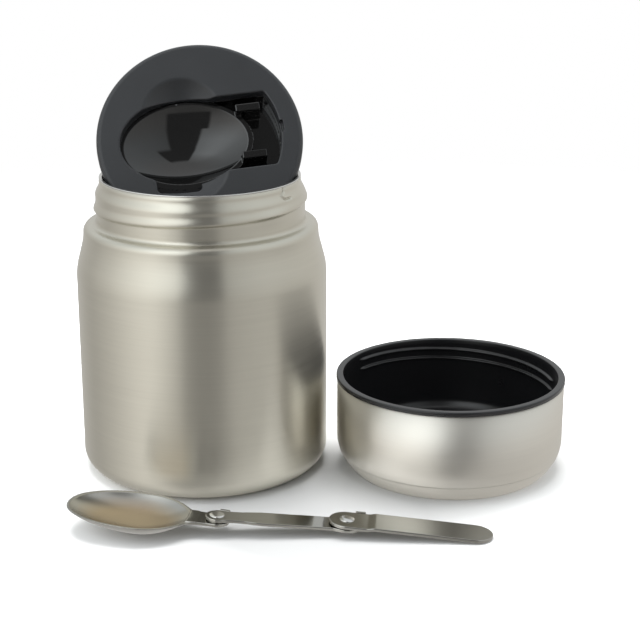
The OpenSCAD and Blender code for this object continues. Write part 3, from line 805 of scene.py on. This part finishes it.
def make_cup():
    at = cup_frame()
    line = sleeve_line(0) + sleeve_line(SHEET)[::-1]
    dress(lathe("cup_shell", line, "cup", at, closed=False), "cup_steel", "cup_sleeve")
    in_r = RIM_R - RIM_W - CUP_LINER_STEP
    out_r = in_r + CUP_LINER_T
    low_r = out_r - CUP_LINER_DRAFT
    edge_z = CUP_H - RIM_T
    floor_z = CUP_FLOOR_Z - CUP_LINER_T
    corner = (low_r - CUP_CORNER, floor_z + CUP_CORNER)
    wall_low = (low_r - CUP_LINER_T, floor_z + CUP_CORNER)
    outer, inner = RIM_ROUNDS
    liner = (
        [(0, floor_z)] + arc(corner, CUP_CORNER, -90, 0) + [(out_r, edge_z), (RIM_R, edge_z)]
        + arc((RIM_R - outer, CUP_H - outer), outer, 0, 90, 6)
        + arc((RIM_R - RIM_W + inner, CUP_H - inner), inner, 90, 180, 6)
        + [(in_r, edge_z)] + straight((in_r, edge_z), wall_low, 110)
        + arc(corner, CUP_CORNER - CUP_LINER_T, 0, -90)[1:] + [(0, CUP_FLOOR_Z)])
    dress(lathe("cup_lining", liner, "cup", at, steps=360, relief=cup_thread, closed=False),
          "liner_black", "cup_liner")


# ---------------------------------------------------------------- spoon

def bowl_half(x):
    """Half width of the bowl's outline at its rim, and on behind it to the tang."""
    front = np.clip((BOWL_X - x) / (BOWL_REACH + BOWL_X), 0, 1)
    blunt = BOWL_B * (1 - front ** 2) ** (BOWL_FULLNESS / 2)
    taper = np.clip((x - BOWL_X) / (TANG_X - BOWL_X), 0, 2) ** BOWL_TAPER
    back = BOWL_B - (BOWL_B - ROOT_B) * taper
    return np.where(x < BOWL_X, blunt, np.maximum(back, 0.5))


def bowl_field(p):
    x, y, z = p[..., 0], p[..., 1], p[..., 2]
    axis_h = (BOWL_B ** 2 - BOWL_DEPTH ** 2) / (2 * BOWL_DEPTH)
    radius = lambda at: np.sqrt(bowl_half(at) ** 2 + axis_h ** 2)
    reach = 0.1
    lean = (radius(x + reach) - radius(x - reach)) / (2 * reach)
    out = (np.hypot(y, z - BOWL_RIM_Z - axis_h) - radius(x)) / np.sqrt(1 + lean ** 2)
    out = np.maximum(out, -BOWL_REACH - x)
    sheet = blend_max(out, -(out + BOWL_WALL), STRIP_EDGE)
    sheet = blend_max(sheet, z - BOWL_RIM_Z, BOWL_EDGE)
    into_tang, into_bowl = BOWL_OVERLAP
    sheet = np.maximum(sheet, x - TANG_X - into_tang)
    start, length = TANG_WIDENS
    width = TANG_R + (ROOT_B - TANG_R) * smoothstep((start - x) / length)
    plan = np.where(x > 0, np.hypot(x, y) - TANG_R, np.abs(y) - width)
    plan = np.maximum(plan, TANG_X - into_bowl - x)
    tang = blend_max(plan, slab_field(z, 0, STRIP_T), STRIP_EDGE)
    whole = blend_min(sheet, tang, BOWL_FILLET)
    return blend_min(whole, lug_field(p, TANG_LUG, 0), STRIP_EDGE)


def lug_field(p, at, strip_z):
    """Stop lug: a short flap out of the strip's +Y edge, turned up at its end."""
    x, y = at
    flap_round, stop_round = LUG_ROUNDS
    flap = box_field(p, (x, 0, strip_z), (x + LUG_W, y + LUG_T, strip_z + STRIP_T), flap_round)
    top = strip_z + 2 * STRIP_T + STRIP_GAP - LUG_BELOW
    stop = box_field(p, (x, y, strip_z), (x + LUG_W, y + LUG_T, top), stop_round)
    return blend_min(flap, stop, stop_round)


def link_field(p):
    x, y, z = p[..., 0], p[..., 1], p[..., 2]
    r = np.hypot(x, y)
    far = np.hypot(x - link_len, y)
    start, length = LINK_WIDENS
    half = LINK_B + smoothstep((x - start) / length)
    strip = np.maximum(np.abs(y) - half, np.maximum(-x, x - link_len))
    plan = blend_min(blend_min(r - LINK_R, strip, LINK_FILLET), far - LINK_END_R, LINK_FILLET)
    low = STRIP_T + STRIP_GAP
    whole = blend_max(plan, slab_field(z, low, low + STRIP_T), STRIP_EDGE)
    shift = np.array((link_len, 0, 0))
    return blend_min(whole, lug_field(p - shift, LINK_LUG, low), STRIP_EDGE)


def grip_field(p):
    x, y, z = p[..., 0], p[..., 1], p[..., 2]
    half = GRIP_W / 2
    inside = np.clip(x, 0, GRIP_LEN - half)
    plan = np.hypot(x - inside, y) - half
    start, length, height = JOGGLE
    rise = height * smoothstep((x - start) / length)
    low = 2 * (STRIP_T + STRIP_GAP)
    return blend_max(plan, slab_field(z - rise, low, low + STRIP_T), STRIP_EDGE)


def rivet(name, z, at, body, node):
    """Domed head, shank and flat foot, with z at the lower face of the lower strip."""
    stack = z + 2 * STRIP_T + STRIP_GAP + RIVET_PLAY
    dome = [(HEAD_R * math.cos(math.radians(a)), stack + HEAD_H * math.sin(math.radians(a)))
            for a in range(0, 76, 5)]
    line = ([(0, z - FOOT_HEAD_H)] + arc((FOOT_HEAD_R - FOOT_HEAD_H, z), FOOT_HEAD_H, -90, 0, 5)
            + [(RIVET_R, z), (RIVET_R, stack)] + dome + [(0, stack + HEAD_H)])
    return dress(lathe(name, line, body, at, steps=64, closed=False), "rivet_steel", node)


def make_spoon():
    bowl_at = spoon_frame(inner_rivet, BOWL_HEADING)
    link_at = spoon_frame(inner_rivet, link_heading)
    link_end = spoon_frame(outer_rivet, link_heading)
    grip_at = spoon_frame(outer_rivet, GRIP_HEADING)
    grid = 0.3
    # The boxes reach past each part by about a millimetre
    bowl = mould("bowl_and_tang", bowl_field, (-BOWL_REACH - 1, -BOWL_B - 1, -BOWL_DEPTH),
                 (TANG_R + 1, BOWL_B + 1, 5), grid, "bowl", bowl_at)
    dress(bowl, "spoon_steel", "spoon_bowl")
    link = mould("link_strip", link_field, (-LINK_R - 1, -LINK_END_R - 2, 0.6),
                 (link_len + LINK_END_R + 3, 9, 5.2), grid, "link", link_at)
    dress(link, "spoon_steel", "spoon_link")
    grip = mould("grip_strip", grip_field, (-GRIP_W / 2 - 1, -GRIP_W / 2 - 1, 2.4),
                 (GRIP_LEN + 1, GRIP_W / 2 + 1, 6.4), grid, "grip", grip_at)
    dress(grip, "spoon_steel", "spoon_grip")
    rivet("rivet_by_bowl", 0, bowl_at, "bowl", "rivet_inner")
    rivet("rivet_by_grip", STRIP_T + STRIP_GAP, link_end, "link", "rivet_outer")


# ---------------------------------------------------------------- studio

CAMERA_AT = (0.04545, -0.5768, 0.2379)
CAMERA_DOWN = 17.18        # degrees below the level
CAMERA_LENS = 87.1         # focal length and sensor width, millimetres
CAMERA_SENSOR = 36


def make_camera():
    """As the photograph was taken: a little right of the jar's axis, looking down, with a level horizon."""
    data = bpy.data.cameras.new("camera")
    data.sensor_width = CAMERA_SENSOR
    data.lens = CAMERA_LENS
    data.clip_start = 0.01
    data.clip_end = 20
    camera = bpy.data.objects.new("camera", data)
    camera.location = CAMERA_AT
    camera.rotation_euler = (math.radians(90 - CAMERA_DOWN), 0, 0)
    bpy.context.scene.collection.objects.link(camera)
    bpy.context.scene.camera = camera


def add(tree, kind, operation=None, *inputs):
    """A node of a world or floor tree with its inputs in order."""
    made = tree.nodes.new("ShaderNode" + kind)
    if operation:
        made.operation = operation
    for socket, value in zip(made.inputs, inputs):
        if isinstance(value, bpy.types.NodeSocket):
            tree.links.new(value, socket)
        else:
            socket.default_value = value
    return made


# The studio's brightness by bearing, in degrees to the right of the camera as seen from the jar:
# below the horizon, a little above it and halfway up
STUDIO = (
    (-180, 0.70, 0.70, 0.80), (-143, 0.60, 0.60, 1.00), (-117, 0.50, 0.60, 0.80), (-88, 0.68, 0.85, 1.10),
    (-61, 0.90, 1.22, 1.45), (-45, 0.97, 1.30, 1.90), (-34, 0.86, 1.12, 2.00), (-24, 0.62, 0.98, 1.85),
    (-12, 0.44, 0.90, 1.60), (0, 0.40, 0.60, 1.10), (12, 0.42, 0.48, 0.70), (22, 0.48, 0.55, 0.62),
    (40, 0.55, 0.63, 0.75), (70, 0.60, 0.73, 0.88), (110, 0.68, 0.73, 0.90), (180, 0.70, 0.70, 0.80))
STUDIO_TINTS = ((1, 0.985, 0.955), (1, 0.99, 0.965), (0.95, 1, 1.02))     # of those three levels
BANDS = ((-0.25, 0.05), (0.10, 0.60))      # heights of a direction over which one tone turns into the next
OVERHEAD = (0.88, 0.985)                   # heights over which they turn into one tone overhead
OVERHEAD_TONE = 0.85
# The dark figure behind the camera, and the dark shape overhead that the dish mirrors: bearings and heights
FIGURE = ((-15.5, 23, -0.22, 0.30), (-9.5, 23, 0.25, 0.86), (-10, 42, 0.785, 0.968))
FIGURE_TONE = 0.17
FIGURE_SOFT = (0.004, 0.03, 0.01)          # half widths of the blur at its sides, in turns, foot and top


def make_world():
    world = bpy.data.worlds.new("studio")
    bpy.context.scene.world = world
    world.use_nodes = True
    tree = world.node_tree
    tree.nodes.clear()
    way = add(tree, "SeparateXYZ", None, add(tree, "TexCoord").outputs["Generated"])
    x, y, z = way.outputs
    bearing = add(tree, "Math", "ARCTAN2", x, add(tree, "Math", "MULTIPLY", y, -1.0).outputs[0])
    share = add(tree, "Math", "MULTIPLY_ADD", bearing.outputs[0], 1 / TURN, 0.5)
    tones = []
    for level, tint in enumerate(STUDIO_TINTS):
        ramp = add(tree, "ValToRGB", None, share.outputs[0])
        points = ramp.color_ramp.elements
        for i, row in enumerate(STUDIO):
            ends = {0: 0, len(STUDIO) - 1: -1}
            point = points[ends[i]] if i in ends else points.new(row[0] / 360 + 0.5)
            point.color = (*(row[level + 1] * part for part in tint), 1)
        tones.append(ramp.outputs[0])
    seen = tones[0]
    upper = (*tones[1:], (OVERHEAD_TONE,) * 3)
    for (low, high), above in zip((*BANDS, OVERHEAD), upper):
        rise = add(tree, "MapRange", None, z, low, high)
        seen = mixed(tree, rise.outputs[0], seen, above)
    side, foot, top = FIGURE_SOFT
    for left, right, low, high in FIGURE:
        edges = ((share.outputs[0], left / 360 + 0.5, side), (share.outputs[0], right / 360 + 0.5, -side),
                 (z, low, foot), (z, high, -top))
        mask = 1.0
        for value, edge, soft in edges:
            within = add(tree, "MapRange", None, value, edge - soft, edge + soft)
            mask = add(tree, "Math", "MULTIPLY", mask, within.outputs[0]).outputs[0]
        seen = mixed(tree, mask, seen, (FIGURE_TONE,) * 3)
    studio = add(tree, "Background", None, seen, 1.0)
    white = add(tree, "Background", None, (1, 1, 1, 1), 1.0)
    sees = add(tree, "LightPath")
    mix = add(tree, "MixShader", None, sees.outputs["Is Camera Ray"], studio.outputs[0], white.outputs[0])
    out = add(tree, "OutputWorld")
    tree.links.new(mix.outputs[0], out.inputs[0])


FLOOR_HALF = 6
FLOOR_DROP = 0.00005       # under the jar's base
FLOOR_SHADE_TONES = (0.56, 0.95)     # as the camera sees it: painted shade between the pieces, and the pale tone farther out
FLOOR_BOUNCE = 0.80        # how much light it gives back to the pieces
# Places on the floor with the distances from them over which its painted shade ends, mirror rays stop
# meeting it, and the camera sees the white round it instead
PAINTED_SHADE_ENDS = ((0.045, -0.055, 0), 0.04, 0.08)
MIRRORED_ENDS = ((0.045, -0.01, 0), 0.03, 0.09)
FLOOR_ENDS = ((0.045, -0.01, 0), 0.25, 0.6)


def make_floor():
    """Pale floor with painted shade between the pieces, that ends in the white round it. A mirror ray meets
    it only near the pieces, and beyond that sees the studio."""
    half = FLOOR_HALF
    mesh = bpy.data.meshes.new("floor")
    corners = [(-half, -half, 0), (half, -half, 0), (half, half, 0), (-half, half, 0)]
    mesh.from_pydata(corners, [], [(0, 1, 2, 3)])
    floor = bpy.data.objects.new("floor", mesh)
    floor.location.z = -FLOOR_DROP
    bpy.context.scene.collection.objects.link(floor)
    material = bpy.data.materials.new("floor_white")
    material.use_nodes = True
    tree = material.node_tree
    tree.nodes.clear()
    sees = add(tree, "LightPath").outputs
    at = add(tree, "NewGeometry").outputs["Position"]

    def ramp(centre, start, end, low=0.0, high=1.0):
        """Goes from low to high with the distance from a place on the floor."""
        offset = add(tree, "VectorMath", "SUBTRACT", at, centre)
        reach = add(tree, "VectorMath", "LENGTH", offset.outputs[0])
        return add(tree, "MapRange", None, reach.outputs["Value"], start, end, low, high).outputs[0]

    # Painted shade: the camera sees the floor greyer near the pieces
    shade = ramp(*PAINTED_SHADE_ENDS, *FLOOR_SHADE_TONES)
    seen = add(tree, "Math", "MULTIPLY", shade, sees["Is Camera Ray"])
    lit = add(tree, "Math", "MULTIPLY_ADD", sees["Is Camera Ray"], -FLOOR_BOUNCE, FLOOR_BOUNCE)
    pale = add(tree, "Math", "ADD", seen.outputs[0], lit.outputs[0])
    cloth = add(tree, "BsdfDiffuse", None, pale.outputs[0])
    clear = add(tree, "BsdfTransparent")
    mirrored = add(tree, "Math", "MULTIPLY", ramp(*MIRRORED_ENDS), sees["Is Glossy Ray"])
    far = add(tree, "Math", "MULTIPLY", ramp(*FLOOR_ENDS), sees["Is Camera Ray"])
    gone = add(tree, "Math", "ADD", mirrored.outputs[0], far.outputs[0])
    mix = add(tree, "MixShader", None, gone.outputs[0], cloth.outputs[0], clear.outputs[0])
    out = add(tree, "OutputMaterial")
    tree.links.new(mix.outputs[0], out.inputs[0])
    mesh.materials.append(material)


def make_lamp(name, size, power, place, aim):
    """Soft square lamp at place, facing aim."""
    data = bpy.data.lights.new(name, "AREA")
    data.size = size
    data.energy = power
    lamp = bpy.data.objects.new(name, data)
    lamp.location = place
    lamp.rotation_euler = (Vector(aim) - Vector(place)).to_track_quat("-Z", "Y").to_euler()
    lamp.visible_glossy = False
    bpy.context.scene.collection.objects.link(lamp)


def make_lamps():
    aim = (0.04, 0, 0.05)
    make_lamp("lamp_over", size=0.7, power=12.0, place=(0.0, 0.25, 1.0), aim=aim)
    make_lamp("lamp_left", size=0.8, power=3.5, place=(-0.9, -0.1, 0.7), aim=aim)
    make_lamp("lamp_right", size=0.8, power=2.0, place=(1.0, -0.1, 0.6), aim=aim)


# ---------------------------------------------------------------- all of it

bpy.context.scene.view_settings.view_transform = "Standard"
make_camera()
make_world()
make_floor()
make_lamps()
make_jar()
make_stopper()
make_cup()
make_spoon()
for part in frame["record"]["subparts"]:
    node = frame["nodes"][part["node"]]
    if not node.hide_render:
        dress(node, part["material_slot"])
